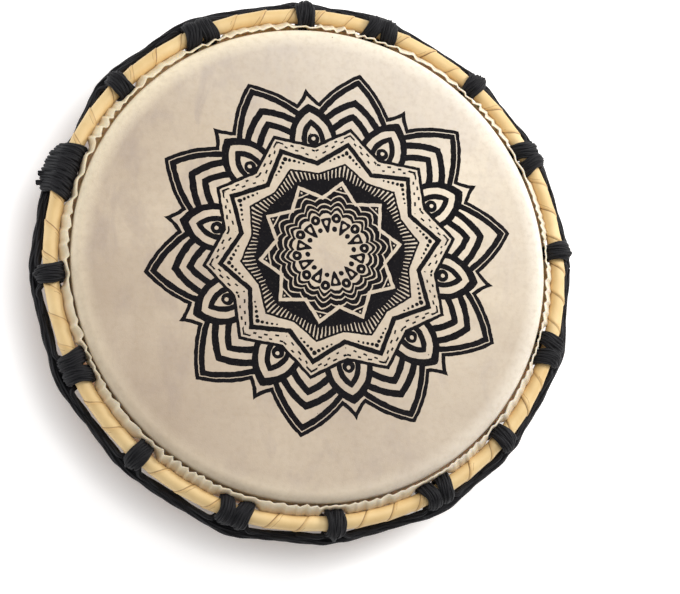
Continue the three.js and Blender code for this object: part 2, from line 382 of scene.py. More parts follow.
def lotusPrintGroup():
    group, start, end = newGroup("ShaderNodeTree", "lotusPrint",
                                 (("Place", "Vector", None),), (("Ink", "Float", None),))
    size = lotus["tipRadius"]
    moved = stretched(group, start["Place"], (1 / size, 1 / size, 0),
                      (-lotus["centre"][0] / size, -lotus["centre"][1] / size, 0))
    # a drawn line is never quite true: the place wanders a little
    wander = newNode(group, "ShaderNodeTexNoise", {
        "Vector": moved, "Scale": lotus["wobbleScale"], "Detail": 3.0}).outputs["Color"]
    wander = vectorMath(group, "SUBTRACT", wander, (0.5, 0.5, 0.5))
    wander = vectorMath(group, "SCALE", wander, Scale=lotus["wobble"] * 2)
    across, upward, _ = axesOf(group, vectorMath(group, "ADD", moved, wander))
    radius = across.length(upward)
    turn = upward.math("ARCTAN2", across)

    # fold the turn onto half a petal: 0 on a petal's line, half a sector on a bud's line
    sector = fullTurn / lotus["petals"]
    fromPetal = (turn - math.radians(lotus["tipDegrees"])).math("PINGPONG", sector / 2)
    fromBud = fromPetal.math("MULTIPLY_ADD", -1.0, sector / 2)
    petal, bud = ((radius * angle.math("COSINE"), radius * angle.math("SINE"))
                  for angle in (fromPetal, fromBud))
    petalX, petalY = petal
    budX, budY = bud

    def arcField(place, arc):
        # how far a place is outside an arc
        centreX, centreY, arcRadius = arc
        return (place[0] - centreX).length(place[1] - centreY) - arcRadius

    def dot(place, arc):
        return arcField(place, arc).below(0)

    def arch(tip, halfWidth):
        # a pointed arch over a bud, with straight sides below its base
        base = lotus["archBase"]
        rise = tip - base
        back = (rise * rise - halfWidth * halfWidth) / (2 * halfWidth)
        return dot((budX.math("MAXIMUM", base), budY), (base, -back, back + halfWidth))

    # outline of petals and spikes, with a thin pale line inside it, then the chevrons
    petalEdge = arcField(petal, lotus["petalArc"])
    spike = arcField(bud, lotus["spikeArc"]) * -1.0
    outline = petalEdge.math("MINIMUM", spike.math("MAXIMUM", budX - lotus["spikeEnd"]))
    ink = outline.within(*lotus["outline"]).either(petalEdge.within(*lotus["petalLine"]))
    chevron = arcField(petal, lotus["chevronArc"])
    for band in lotus["chevrons"]:
        ink = ink.either(chevron.within(*band))

    # bud between two petals: border, pale arch, dark arch, eye
    border, paleArch, darkArch, eyeArch = (arch(*sizes) for sizes in lotus["arches"])
    budInk = border.without(paleArch).either(darkArch).without(eyeArch)
    budInk = budInk.either(dot(bud, lotus["eye"])).without(dot(bud, lotus["eyeLight"]))
    ink = ink.without(border).either(budInk).both(outline.below(0))

    # everything inside the first zigzag is drawn anew
    slope = lotus["zigzagSlope"]
    steepness = math.sqrt(1 + slope * slope)
    zigzag = petalX + petalY * slope
    steepZigzag = petalX + petalY * lotus["steepSlope"]
    along = (petalY - petalX * slope) * (1 / steepness)
    inner = zigzag.below(lotus["zigzagLimit"])
    rings = zigzag.within(*lotus["zigzagLine"]).either(steepZigzag.within(*lotus["steepLine"]))
    peakLine = zigzag.within(*lotus["peakLine"]).both(petalY.below(lotus["peakWidth"]))
    rings = rings.either(peakLine)

    def dashRow(line, depth, shift):
        # short blunt strokes in a row along a zigzag
        step = (along + shift).math("PINGPONG", lotus["dashStep"] / 2)
        uneven = (noiseField(group, moved, 21.0, 1) - 0.5) * lotus["dashUneven"]
        halfLength, halfWidth = lotus["dashHalf"]
        return (step + uneven).below(halfLength).both(line.math("COMPARE", depth, halfWidth))

    shift = lotus["dashShift"]
    outerDashes = dashRow(zigzag, lotus["dashDepths"][0], shift)
    innerDashes = dashRow(steepZigzag, lotus["dashDepths"][1], shift + lotus["dashStep"] / 2)
    rings = rings.either(outerDashes.both(petalY.above(lotus["dashStart"]))).either(innerDashes)

    # dots that shrink away from each peak
    dotDepth = lotus["dotDepth"]
    fromPeak = along + slope * dotDepth / steepness
    dotPlace = fromPeak.math("PINGPONG", lotus["dotStep"] / 2)
    depth = (zigzag - dotDepth) * (1 / steepness)
    dotSize = fromPeak * lotus["dotShrink"] + lotus["dotSize"]
    onDot = (dotPlace.length(depth) - dotSize).below(0)
    rings = rings.either(onDot.both(fromPeak.within(*lotus["dotRun"])))
    rings = rings.either(dot(petal, (dotDepth, 0, lotus["peakDot"])))

    # dark star ring with pale strokes that point outward
    star = petalX + petalY * lotus["starSlope"]
    innerStar = petalX + petalY * lotus["innerSlope"]
    rings = rings.either(star.below(lotus["starLimit"]))
    strokeTurn = fromPetal.math("PINGPONG", sector / lotus["strokesPerPetal"] / 2)
    byStar, byTurn, limit = lotus["strokeTaper"]
    strokes = (strokeTurn + star * byStar + fromPetal * byTurn).below(limit)
    uneven = noiseField(group, stretched(group, moved, (9, 9, 9)), 5.0, 2) * lotus["strokeUneven"]
    zone = (star + fromPetal * lotus["strokeLean"] + uneven * -1.0).above(lotus["strokeStart"])
    rings = rings.without(strokes.both(zone).both(star.below(lotus["strokeEnd"])))
    rings = rings.without(innerStar.below(lotus["innerLimit"]))

    # scallops, triangles, rings and hearts towards the middle
    height, lean, limit = lotus["scallop"]
    lobe = (fromPetal * lotus["petals"]).math("COSINE").math("ABSOLUTE")
    wave = radius - lobe * height + fromPetal * lean
    waves = wave.above(limit)
    for level in lotus["scallopLines"]:
        waves = waves.without(wave.within(level - lotus["scallopHalf"], level + lotus["scallopHalf"]))
    waves = waves.either(petalX.above(lotus["triangleTop"]))
    triangleLine = petalX.within(*lotus["triangleLine"]).both(petalY.below(lotus["triangleWidth"]))
    waves = waves.without(triangleLine).without(dot(petal, lotus["triangleDot"]))
    waves = waves.either(arcField(petal, lotus["ringPlace"]).within(*lotus["ring"]))
    foot, lean, narrow, top, blend = lotus["heart"]
    side = ((budY * budY + 0.00005).math("SQRT") + (budX - foot) * lean) * narrow
    heart = side.math("SMOOTH_MAX", budX - top, blend)
    waves = waves.either(heart.within(*lotus["heartLine"])).either(dot(petal, lotus["middleDot"]))
    rings = rings.either(waves.both(innerStar.below(lotus["middle"])))
    feed(group, end["Ink"], ink.without(inner).either(rings.both(inner)))
    return group


# materials; a tone that is laid over the base is (how much, colour), and four numbers are a
# remap: from low, from high, to low, to high

hide = {
    "grain": (16.0, 1100.0),
    "base": (paint(226, 210, 186), paint(205, 189, 165)),
    "cloudAmount": 0.8,
    "broadNoise": (7.0, 3, 0.55),
    "broad": (0.5, paint(184, 169, 154)),
    "streakStretch": (24, 140, 60),
    "streaks": (0.22, paint(178, 159, 138)),
    "patchStretch": (58, 27, 40),
    "patchMove": (0.31, 0.12, 0),
    "patch": paint(172, 158, 150),
    "patchShare": (-0.12, 0.06, 0.65, 0.30),
    # painted shade, darker on the side away from the key light
    "paintedShade": paint(172, 151, 130),
    "paintedShadeAim": (-0.88, -0.48),  # the side that it lies on, across and upward
    "paintedShadeShare": (-0.06, 0.12, 0, 0.74),
    "paintedShadeClouds": (0.3, 0.7),
    # painted highlight, paler on the side towards the key light
    "paintedHighlight": paint(238, 229, 216),
    "paintedHighlightAim": (0.5, 0.85),
    "paintedHighlightShare": (0.03, 0.14, 0, 0.45),
    # painted highlight along the flap's top edge
    "flapEdgeHighlight": paint(246, 238, 222),
    "flapEdgeHighlightShare": (-0.0075, -0.0040, 0, 0.55),
    # painted highlight over the shoulder, with the paler thin-stretched skin there
    "shoulderHighlightTones": (paint(249, 234, 203), paint(252, 243, 228)),
    "shoulderHighlightReach": (0.1275, 0.1385),
    "shoulderHighlightAim": (0.3, 0.95),
    "shoulderHighlightShare": (-0.11, 0.06, 0.34, 0.9),
    "flap": (0.6, paint(214, 186, 146)),
    "speckScale": 60.0,
    "speckSize": 0.028,
    "speck": (0.8, paint(70, 52, 40)),
    "mottleNoise": (260.0, 3, 0.7),
    "mottle": (0.26, paint(168, 148, 122)),
    "ink": (paint(11, 9, 13), paint(19, 17, 21)),
    "inkWear": (0.30, 0.42, 0.965, 1.0),
    "inkRough": 0.12,
    "rough": (0.3, 0.7, 0.44, 0.60),
    "edge": 0.0004,  # how near the flap and the top face count as begun
    "shine": 0.64,
    "glow": (0.1385, 0.1402, 0.04, 0.35),
}


def hideMaterial():
    look = Look("printedHide")
    tree, place = look.tree, look.place
    clouds, _, height = look.grain(*hide["grain"])
    clouds = clouds.remap(*cloudRange)
    across, upward, level = axesOf(tree, place)
    reach = across.length(upward)

    def cover(mask, tone):
        look.cover(mask * tone[0], tone[1])

    def towards(aim):
        return across * aim[0] + upward * aim[1]

    look.start(clouds * hide["cloudAmount"], *hide["base"])
    cover(look.noise(*hide["broadNoise"]).remap(0.36, 0.64), hide["broad"])
    streakPlace = stretched(tree, place, hide["streakStretch"])
    streaks = noiseField(tree, streakPlace, 1.0, 4, 0.6, 0.6)
    cover(streaks.remap(0.45, 0.75), hide["streaks"])
    patchPlace = stretched(tree, place, hide["patchStretch"], hide["patchMove"])
    patches = noiseField(tree, patchPlace, 1.0, 4, 0.6, 0.5).remap(0.50, 0.68)
    look.cover(patches * across.remap(*hide["patchShare"]), hide["patch"])
    # painted shade: the skin is made darker towards the side away from the key light, more where its
    # clouds are
    changing, steady = hide["paintedShadeClouds"]
    paintedShadeSide = towards(hide["paintedShadeAim"]).remap(*hide["paintedShadeShare"])
    look.cover(paintedShadeSide * (clouds * changing + steady), hide["paintedShade"])
    # painted highlight: paler towards the side that the key light comes from
    look.cover(towards(hide["paintedHighlightAim"]).remap(*hide["paintedHighlightShare"]), hide["paintedHighlight"])
    # painted highlight: the flap is made paler along its top edge
    flap = reach.above(hideOuterRadius + hide["edge"])
    low, high, *amount = hide["flapEdgeHighlightShare"]
    flapEdgeHighlight = flap.both(level.remap(headTop + low, headTop + high, *amount))
    look.cover(flapEdgeHighlight, hide["flapEdgeHighlight"])
    # painted highlight over the shoulder, strongest on the side towards the light; the skin stretched
    # thin there is paler too
    shoulderHighlightShare = towards(hide["shoulderHighlightAim"]).remap(*hide["shoulderHighlightShare"])
    shoulderHighlightColour = mixColour(tree, across.remap(-0.06, 0.10), *hide["shoulderHighlightTones"])
    look.cover(reach.remap(*hide["shoulderHighlightReach"]) * shoulderHighlightShare, shoulderHighlightColour)
    cover(flap - flapEdgeHighlight, hide["flap"])
    cells = newNode(tree, "ShaderNodeTexVoronoi", {"Vector": place, "Scale": hide["speckScale"]})
    specks = Field(tree, cells.outputs["Distance"]).below(hide["speckSize"])
    cover(specks.both(look.noise(23.0, 1).above(0.56)), hide["speck"])
    mottle = look.noise(*hide["mottleNoise"])
    cover(mottle.remap(0.45, 0.75), hide["mottle"])
    # the print lies on the top face alone, and takes the skin's shine away
    lotusPrint = newNode(tree, "ShaderNodeGroup", {"Place": place}, node_tree=lotusPrintGroup())
    ink = Field(tree, lotusPrint.outputs["Ink"]).both(level.above(headTop - hide["edge"]))
    worn = look.noise(900.0, 3, 0.6).remap(*hide["inkWear"])
    look.cover(ink * worn, mixColour(tree, clouds, *hide["ink"]))
    look.set({
        "Specular IOR Level": 0.08,
        "Coat Weight": ink.math("MULTIPLY_ADD", -hide["shine"], hide["shine"]),
        "Coat Roughness": 0.52,
        "Subsurface Weight": reach.remap(*hide["glow"]),  # light passes through the thin flap
        "Subsurface Radius": (1.0, 0.7, 0.4),
        "Subsurface Scale": 0.003})
    rough = mottle.remap(*hide["rough"]) + ink * hide["inkRough"]
    return look.finish(rough, height, 0.28, 0.0003)


strip = {
    "grain": (55.0, 1500.0),
    "waver": 0.03,
    "base": (paint(234, 205, 150), paint(223, 189, 130)),
    "turnTone": (0.45, paint(216, 180, 118)),
    "nearSeam": paint(196, 152, 90),
    "nearSeamShare": (0.0, 0.14, 0.5, 0),
    # painted shade in the strip's creases
    "creaseBand": (0.115, 0.140),
    "creaseStray": 0.25,
    "creaseShare": 0.5,
    "creaseShade": paint(150, 106, 56),
    "edgeBand": (0.950, 0.972),
    "edgeShare": (0.35, 0.65, 0.35, 0.9),
    "edge": paint(116, 76, 38),
    "lapBand": (0.0, 0.30, 1.0, 0.0),
    "rough": (0, 1, 0.42, 0.55),
}


def stripMaterial():
    # the phase counts the strip's turns: its fraction says how far a place is from the seam
    look = Look("hoopStrip")
    clouds, pores, height = look.grain(*strip["grain"])
    phase = Field(look.tree, attributeOf(look.tree, "stripPhase")["Fac"])
    phase = phase + (look.noise(260.0, 2) - 0.5) * strip["waver"]
    seam = phase.math("FRACT")
    turnTone = newNode(look.tree, "ShaderNodeTexWhiteNoise", {"W": phase.math("FLOOR")},
                       noise_dimensions="1D").outputs["Value"]
    share, colour = strip["turnTone"]
    look.start(clouds.remap(*cloudRange), *strip["base"])
    look.cover(Field(look.tree, turnTone) * share, colour)
    look.cover(seam.remap(*strip["nearSeamShare"]), strip["nearSeam"])
    # painted shade: thin dark lines along scattered creases in the strip, which the relief also sinks
    # a little
    stray = (look.noise(90.0, 2) - 0.5) * strip["creaseStray"]
    creased = look.noise(70.0, 1).above(0.52) * strip["creaseShare"]
    creaseShade = (seam + stray).within(*strip["creaseBand"]).both(creased)
    look.cover(creaseShade, strip["creaseShade"])
    edgeShare = look.noise(48.0, 2).remap(*strip["edgeShare"])
    look.cover(seam.remap(*strip["edgeBand"]) * edgeShare, strip["edge"])
    relief = height * 0.35 + seam.remap(*strip["lapBand"]) - creaseShade
    return look.finish(pores.remap(*strip["rough"]), relief, 0.5, 0.0003)


cord = {
    "filamentScale": (3800.0, 160.0),  # across and along
    "base": (paint(7, 7, 10), paint(23, 22, 27)),
    "dust": (0.18, paint(42, 39, 44)),
    "rough": (0.3, 0.7, 0.80, 0.58),
    "gloss": 0.35,
    "sheen": (0.05, 0.4, paint(150, 150, 165)),
}


def ropeMaterial():
    # black cord: lengthwise filaments with a soft shine
    look = Look("blackRope")
    tree = look.tree
    sideX, sideY, _ = axesOf(tree, attributeOf(tree, "yarnSide")["Vector"])
    length = Field(tree, attributeOf(tree, "yarnLength")["Fac"])
    across, along = cord["filamentScale"]
    spot = newNode(tree, "ShaderNodeCombineXYZ", {
        "X": sideX * across, "Y": sideY * across, "Z": length * along}).outputs[0]
    filaments = noiseField(tree, spot, 1.0, 3, 0.7, 0.3)
    look.start(filaments.remap(0.35, 0.7), *cord["base"])
    share, colour = cord["dust"]
    look.cover(look.noise(120.0, 4, 0.6).remap(0.48, 0.75) * share, colour)
    weight, rough, tint = cord["sheen"]
    look.set({"Specular IOR Level": cord["gloss"], "Sheen Weight": weight,
              "Sheen Roughness": rough, "Sheen Tint": tint})
    return look.finish(filaments.remap(*cord["rough"]), filaments, 0.6, 0.0004)


wood = {
    "boardScale": (1.1, 60.0, 60.0),
    "ringScale": 1.1,
    "rings": (paint(186, 134, 82), paint(150, 98, 56)),
    "fibreStretch": (9, 26, 26),
    "fibres": (0.5, paint(116, 72, 40)),
    "jointHalf": 0.003,
    "joint": paint(62, 38, 22),
    "rearEdgeShare": (0.0, 0.004, 0.45, 0),
    "rearEdge": paint(204, 164, 118),
}


def woodMaterial():
    # bent wood: the grain runs round the ring and meets in a joint
    look = Look("bentWood")
    tree = look.tree
    across, upward, level = axesOf(tree, look.place)
    turn = upward.math("ARCTAN2", across)
    turnScale, levelScale, reachScale = wood["boardScale"]
    board = newNode(tree, "ShaderNodeCombineXYZ", {
        "X": turn * turnScale, "Y": level * levelScale,
        "Z": across.length(upward) * reachScale}).outputs[0]
    rings = newNode(tree, "ShaderNodeTexWave", {
        "Vector": board, "Scale": wood["ringScale"],
        "Distortion": 6.0, "Detail": 3.0, "Detail Scale": 1.2},
        wave_type="BANDS", bands_direction="Y").outputs["Fac"]
    fibres = noiseField(tree, stretched(tree, board, wood["fibreStretch"]), 1.0, 5, 0.7)
    share, colour = wood["fibres"]
    look.start(rings, *wood["rings"])
    look.cover(fibres.remap(0.45, 0.7) * share, colour)
    look.cover(turn.math("ABSOLUTE").above(math.pi - wood["jointHalf"]), wood["joint"])
    look.cover(level.remap(*wood["rearEdgeShare"]), wood["rearEdge"])
    return look.finish(fibres.remap(0.3, 0.7, 0.42, 0.62), fibres, 0.25, 0.0004)


printedHide = hideMaterial()
hoopStrip = stripMaterial()
blackRope = ropeMaterial()
bentWood = woodMaterial()
print("materials made")


# mesh helpers

def swellAt(turn):
    # how far the hoop stands out of round at a turn in radians
    degrees = np.degrees(turn) % 360
    total = 0
    for centre, width, height in hoopSwells:
        off = (degrees - centre + 180) % 360 - 180
        total = total + height * np.exp(-(off / width) ** 2)
    return total


def polar(reach, turn, height):
    return (reach * math.cos(turn), reach * math.sin(turn), height)


def ringPoints(reach, turns, height):
    return list(np.column_stack([reach * np.cos(turns), reach * np.sin(turns), height + 0 * turns]))


def evenTurns(count):
    return np.arange(count) * 2 * math.pi / count


def randomWaves(turn, waves, low, high, chance):
    # waves round the drum, each with its own height and start
    return sum(chance.uniform(low, high) * np.sin(wave * turn + chance.uniform(0, 6.28))
               for wave in waves)


def gridFaces(rows, columns, closeRows):
    # quads of a grid whose columns close on themselves
    faces = []
    for row in range(rows if closeRows else rows - 1):
        nextRow = (row + 1) % rows
        for column in range(columns):
            nextColumn = (column + 1) % columns
            faces.append((row * columns + column, row * columns + nextColumn,
                          nextRow * columns + nextColumn, nextRow * columns + column))
    return faces


def newPiece(name, points, faces, material, edges=()):
    mesh = bpy.data.meshes.new(name)
    mesh.from_pydata([tuple(point) for point in points], list(edges), faces)
    mesh.materials.append(material)
    item = bpy.data.objects.new(name, mesh)
    bpy.context.collection.objects.link(item)
    return item


def finishPiece(item, slotName, *nodes):
    for polygon in item.data.polygons:
        polygon.use_smooth = True
    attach(item, "root")
    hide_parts(*nodes)


def bakeModifiers(item, name):
    # what the modifiers make becomes a plain mesh, and they are gone
    evaluated = item.evaluated_get(bpy.context.evaluated_depsgraph_get())
    mesh = bpy.data.meshes.new_from_object(evaluated)
    mesh.name = name
    source = item.data
    plain = bpy.data.objects.new(name, mesh)
    bpy.context.collection.objects.link(plain)
    bpy.data.objects.remove(item)
    bpy.data.meshes.remove(source)
    return plain


def turnOutward(item):
    tool = bmesh.new()
    tool.from_mesh(item.data)
    bmesh.ops.remove_doubles(tool, verts=tool.verts, dist=1e-6)
    bmesh.ops.recalc_face_normals(tool, faces=tool.faces)
    tool.to_mesh(item.data)
    tool.free()


# drumhead: the face, its shoulder, the skirt down the shell and the ruffled flap outside it

head = {
    "columns": 1080,
    "faceRings": (0.02, 0.05, 0.09, 0.12),
    "undersideRings": (0.12, 0.06, 0.02),
    "thickness": 0.0009,
    "shoulder": 0.006,
    "shoulderSteps": 8,
    "skirtDepth": 0.0195,
    "skirtRise": 0.003,
    "flapGap": 0.0003,
    "flapFeet": (0.0014, 0.0006),  # how high its inner and outer side start
    "edgeDepth": 0.0037,
    "edgeRadius": 0.1416,
    "edgeCrown": 0.0002,
    "flapBulge": 0.0048,
    "bulgeShape": (0, 0.72, 0.96, 1.0, 0.98, 0.87, 0.66, 0.34, 0),
    "ruffle": 0.0010,
    "ruffles": 122,
    "ruffleDrift": 26,
    "ruffleLimit": -0.0011,
    "driftWaves": (2, 3, 5, 7, 11),
    "sizeWaves": (4, 9, 13, 21),
    "slowFolds": (0.45, 57, 1.3),
    "coarseSide": 2.4,
    "coarseShare": 0.35,
    "hitchHalfDegrees": {"narrow": 2.2, "double": 4.3, "wrap": 7.0},
    "hitchPinch": 0.55,
    "hitchCalm": 0.4,
    "pinchSpread": 1.4,
    "trimWaves": (17, 31, 43, 71),
    "trimWaver": 0.0007,
    "swellShare": 1.3,
    "seed": 11,
}


def hitchNearness(turn):
    # 1 at a hitch, falling to 0 a little beside it
    degrees = np.degrees(turn) % 360
    near = np.zeros_like(degrees)
    for centre, kind in zip(hitchAngles, hitchKinds):
        off = np.abs((degrees - centre + 180) % 360 - 180) - head["hitchHalfDegrees"][kind]
        near = np.maximum(near, np.clip(1 - off / head["pinchSpread"], 0, 1))
    return near


def headRows():
    # each row is (radius, height, share of the ruffle, share of the bulge)
    skin = head["thickness"]
    bottom = headTop - head["skirtDepth"]
    edge = headTop - head["edgeDepth"]
    inside = hideOuterRadius + head["flapGap"]
    shapes = list(enumerate(head["bulgeShape"]))

    def bendRows(inset):
        # the quarter round of the shoulder
        bend, rows = head["shoulder"], []
        for step in range(head["shoulderSteps"] + 1):
            angle = math.radians(90 - step * 90 / head["shoulderSteps"])
            rows.append((hideOuterRadius - bend + (bend - inset) * math.cos(angle),
                         headTop - bend + (bend - inset) * math.sin(angle), 0, 0))
        return rows

    def flapRows(foot, first, last):
        # one side of the flap from its foot to its edge
        rows = []
        for step, bulge in shapes:
            share = step / shapes[-1][0]
            height = bottom + foot + (edge - bottom - foot) * share
            rows.append((first + (last - first) * share, height, share, bulge))
        return rows

    innerFoot, outerFoot = head["flapFeet"]
    rows = [(radius, headTop, 0, 0) for radius in head["faceRings"]]
    rows += bendRows(0)
    rows.append((hideOuterRadius, bottom + head["skirtRise"], 0, 0))
    rows += flapRows(innerFoot, inside, head["edgeRadius"] - skin / 2)
    rows.append((head["edgeRadius"], edge + head["edgeCrown"], 1, 0))
    rows += reversed(flapRows(outerFoot, inside + skin, head["edgeRadius"] + skin / 2))
    rows.append((inside, bottom, 0, 0))
    rows.append((hideOuterRadius - skin, bottom + head["edgeCrown"], 0, 0))
    rows += reversed(bendRows(skin))
    rows += [(radius, headTop - skin, 0, 0) for radius in head["undersideRings"]]
    return rows


def ruffleWaves(turn):
    # uneven folds: the pitch and the height both drift round the drum
    chance = np.random.default_rng(head["seed"])
    drift = randomWaves(turn, head["driftWaves"], 1.5, 3.5, chance)
    fromCoarse = turn - head["coarseSide"]
    phase = head["ruffles"] * turn - head["ruffleDrift"] * np.sin(fromCoarse) + drift
    height, pitch, start = head["slowFolds"]
    folds = np.sin(phase + 0.7 * np.sin(phase)) + height * np.sin(pitch * turn + start)
    size = 0.75 + randomWaves(turn, head["sizeWaves"], 0.1, 0.22, chance)
    return folds * size * (1 + head["coarseShare"] * np.cos(fromCoarse))


def makeHead():
    columns = head["columns"]
    turn = evenTurns(columns)
    near = hitchNearness(turn)
    folds = ruffleWaves(turn) * head["ruffle"] * (1 - head["hitchCalm"] * near)
    chance = np.random.default_rng(head["seed"] + 1)
    trim = randomWaves(turn, head["trimWaves"], 0.2, 0.5, chance) * head["trimWaver"]
    bulge = head["flapBulge"] * (1 - head["hitchPinch"] * near)
    swell = swellAt(turn) * head["swellShare"]
    points = [(0, 0, headTop)]
    rows = headRows()
    for radius, height, ruffleShare, bulgeShare in rows:
        reach = radius + np.maximum(folds * ruffleShare, head["ruffleLimit"] * ruffleShare)
        reach = reach + bulge * bulgeShare
        reach = reach + swell * max(ruffleShare, bulgeShare) * (0.4 if bulgeShare == 0 else 1)
        points += ringPoints(reach, turn, height + trim * ruffleShare)
    points.append((0, 0, headTop - head["thickness"]))
    faces = [(0, 1 + column, 1 + (column + 1) % columns) for column in range(columns)]
    for face in gridFaces(len(rows), columns, False):
        faces.append(tuple(1 + index for index in reversed(face)))
    last = len(points) - 1
    start = last - columns
    faces += [(last, start + (column + 1) % columns, start + column) for column in range(columns)]
    item = newPiece("drumheadHide", points, faces, printedHide)
    turnOutward(item)
    finishPiece(item, "hide", "drumhead")


makeHead()
print("drumhead made")


# wound hoop: one long strip wound round a ring, each turn lapping the last

hoop = {
    "columns": 2160,
    "sides": 40,
    "turns": 54,
    "coreRadius": 0.00428,
    "slack": (0.5, 1.0),
    "lapHeight": 0.00068,
    "lapShare": 0.45,
    "lapPower": 1.4,
    "edgeShare": 0.02,
    "wrinkle": 0.00009,
    "wrinkles": 26,
    "wrinkleFade": 0.22,
    "lump": 0.00007,
    "lumpWaves": ((17, 2), (29, -1), (61, 0)),  # times along, times around
    "seed": 5,
}


def makeHoop():
    columns, sides = hoop["columns"], hoop["sides"]
    turn = evenTurns(columns)[None, :]
    around = evenTurns(sides)[:, None]
    phase = (hoop["turns"] * turn - around) / fullTurn
    number = np.floor(phase) % hoop["turns"]
    share = phase - np.floor(phase)
    chance = np.random.default_rng(hoop["seed"])
    slack = chance.uniform(*hoop["slack"], hoop["turns"])[number.astype(int)]
    lap = np.clip(1 - share / hoop["lapShare"], 0, 1) ** hoop["lapPower"]
    edge = np.clip(share / hoop["edgeShare"], 0, 1)
    wrinkles = np.sin(fullTurn * hoop["wrinkles"] * share + 3 * slack)
    wrinkles = wrinkles * np.exp(-share / hoop["wrinkleFade"]) * slack
    lumps = sum(np.sin(along * turn + across * around) for along, across in hoop["lumpWaves"])
    tube = (hoop["coreRadius"] + hoop["lapHeight"] * lap * edge * slack
            + hoop["wrinkle"] * wrinkles + hoop["lump"] * (lumps / len(hoop["lumpWaves"])))
    reach = hoopRadius + swellAt(turn) + tube * np.cos(around)
    height = hoopHeight + tube * np.sin(around)
    points = np.stack([reach * np.cos(turn), reach * np.sin(turn), height], -1).reshape(-1, 3)
    item = newPiece("woundHoopStrip", points, gridFaces(sides, columns, True), hoopStrip)
    # the phase of each face corner, which runs on past the grid's end so that no seam smears
    rows, runs = np.meshgrid(np.arange(sides), np.arange(columns), indexing="ij")
    corners = [hoop["turns"] * (runs + onward) / columns - (rows + upward) / sides
               for upward, onward in ((0, 0), (0, 1), (1, 1), (1, 0))]
    attribute = item.data.attributes.new("stripPhase", "FLOAT", "CORNER")
    attribute.data.foreach_set("value", np.stack(corners, -1).astype(np.float32).ravel())
    turnOutward(item)
    finishPiece(item, "strip", "wound_hoop")


makeHoop()
print("wound hoop made")


# rope: yarns twisted along a route, by Geometry Nodes

rope = {
    "yarns": 4,
    "yarnRadius": 0.00078,
    "layRadius": 0.00092,
    "twistLength": 0.06,
    "step": 0.0019,
    "sides": 5,
    "routeStep": 0.0012,
}


def ropeTree():
    tree, start, end = newGroup(
        "GeometryNodeTree", "twistedRope",
        (("Geometry", "Geometry", None), ("Yarns", "Int", rope["yarns"]),
         ("Yarn Radius", "Float", rope["yarnRadius"]), ("Lay Radius", "Float", rope["layRadius"]),
         ("Twist Length", "Float", rope["twistLength"]), ("Step", "Float", rope["step"]),
         ("Sides", "Int", rope["sides"]), ("Material", "Material", None)),
        (("Geometry", "Geometry", None),))
    route = newNode(tree, "GeometryNodeMeshToCurve", {"Mesh": start["Geometry"]})
    even = newNode(tree, "GeometryNodeResampleCurve", {
        "Curve": route.outputs[0], "Length": start["Step"]}, mode="LENGTH")
    copies = newNode(tree, "GeometryNodeDuplicateElements", {
        "Geometry": even.outputs[0], "Amount": start["Yarns"]}, domain="SPLINE").outputs
    # each yarn is moved off the route, to a side that turns as it goes along
    length = Field(tree, newNode(tree, "GeometryNodeSplineParameter").outputs["Length"])
    twist = length.math("DIVIDE", start["Twist Length"])
    copy = Field(tree, copies["Duplicate Index"]).math("DIVIDE", start["Yarns"])
    angle = (twist + copy) * fullTurn
    normal = newNode(tree, "GeometryNodeInputNormal").outputs[0]
    tangent = newNode(tree, "GeometryNodeInputTangent").outputs[0]
    sideways = vectorMath(tree, "CROSS_PRODUCT", tangent, normal)
    lay = start["Lay Radius"]
    moves = [vectorMath(tree, "SCALE", axis, Scale=angle.math(wave) * lay)
             for axis, wave in ((normal, "COSINE"), (sideways, "SINE"))]
    placed = newNode(tree, "GeometryNodeSetPosition", {
        "Geometry": copies["Geometry"], "Offset": vectorMath(tree, "ADD", *moves)})
    measured = newNode(tree, "GeometryNodeStoreNamedAttribute", {
        "Geometry": placed.outputs[0], "Name": "yarnLength", "Value": length},
        data_type="FLOAT", domain="POINT")
    circle = newNode(tree, "GeometryNodeCurvePrimitiveCircle", {
        "Resolution": start["Sides"], "Radius": start["Yarn Radius"]})
    section = newNode(tree, "GeometryNodeStoreNamedAttribute", {
        "Geometry": circle.outputs[0], "Name": "yarnSide",
        "Value": newNode(tree, "GeometryNodeInputPosition").outputs[0]},
        data_type="FLOAT_VECTOR", domain="POINT")
    swept = newNode(tree, "GeometryNodeCurveToMesh", {
        "Curve": measured.outputs[0], "Profile Curve": section.outputs[0], "Fill Caps": True})
    whole = newNode(tree, "GeometryNodeRealizeInstances", {"Geometry": swept.outputs[0]})
    dressed = newNode(tree, "GeometryNodeSetMaterial", {
        "Geometry": whole.outputs[0], "Material": start["Material"]})
    feed(tree, end[0], dressed.outputs[0])
    return tree


twistedRope = ropeTree()


def setInput(modifier, name, value):
    for socket in modifier.node_group.interface.items_tree:
        if socket.name == name and socket.in_out == "INPUT":
            modifier[socket.identifier] = value


def smoothRoute(points):
    # a soft curve through the points
    places = [np.array(point, float) for point in points]
    padded = [2 * places[0] - places[1]] + places + [2 * places[-1] - places[-2]]
    result = []
    for index in range(1, len(padded) - 2):
        first, second, third, fourth = padded[index - 1:index + 3]
        count = max(2, int(np.linalg.norm(third - second) / rope["routeStep"]))
        for share in np.arange(count) / count:
            result.append(0.5 * (2 * second + (third - first) * share
                                 + (2 * first - 5 * second + 4 * third - fourth) * share ** 2
                                 + (3 * second - first - 3 * third + fourth) * share ** 3))
    result.append(places[-1])
    return result


def makeRope(name, routes, node):
    # routes is a list of (points, closed)
    points, edges = [], []
    for route, closed in routes:
        start = len(points)
        points += list(route)
        edges += [(index, index + 1) for index in range(start, len(points) - 1)]
        if closed:
            edges.append((len(points) - 1, start))
    item = newPiece(name + "Route", points, [], blackRope, edges)
    modifier = item.modifiers.new("twistedRope", "NODES")
    modifier.node_group = twistedRope
    setInput(modifier, "Material", blackRope)
    finishPiece(bakeModifiers(item, name), "rope", node)


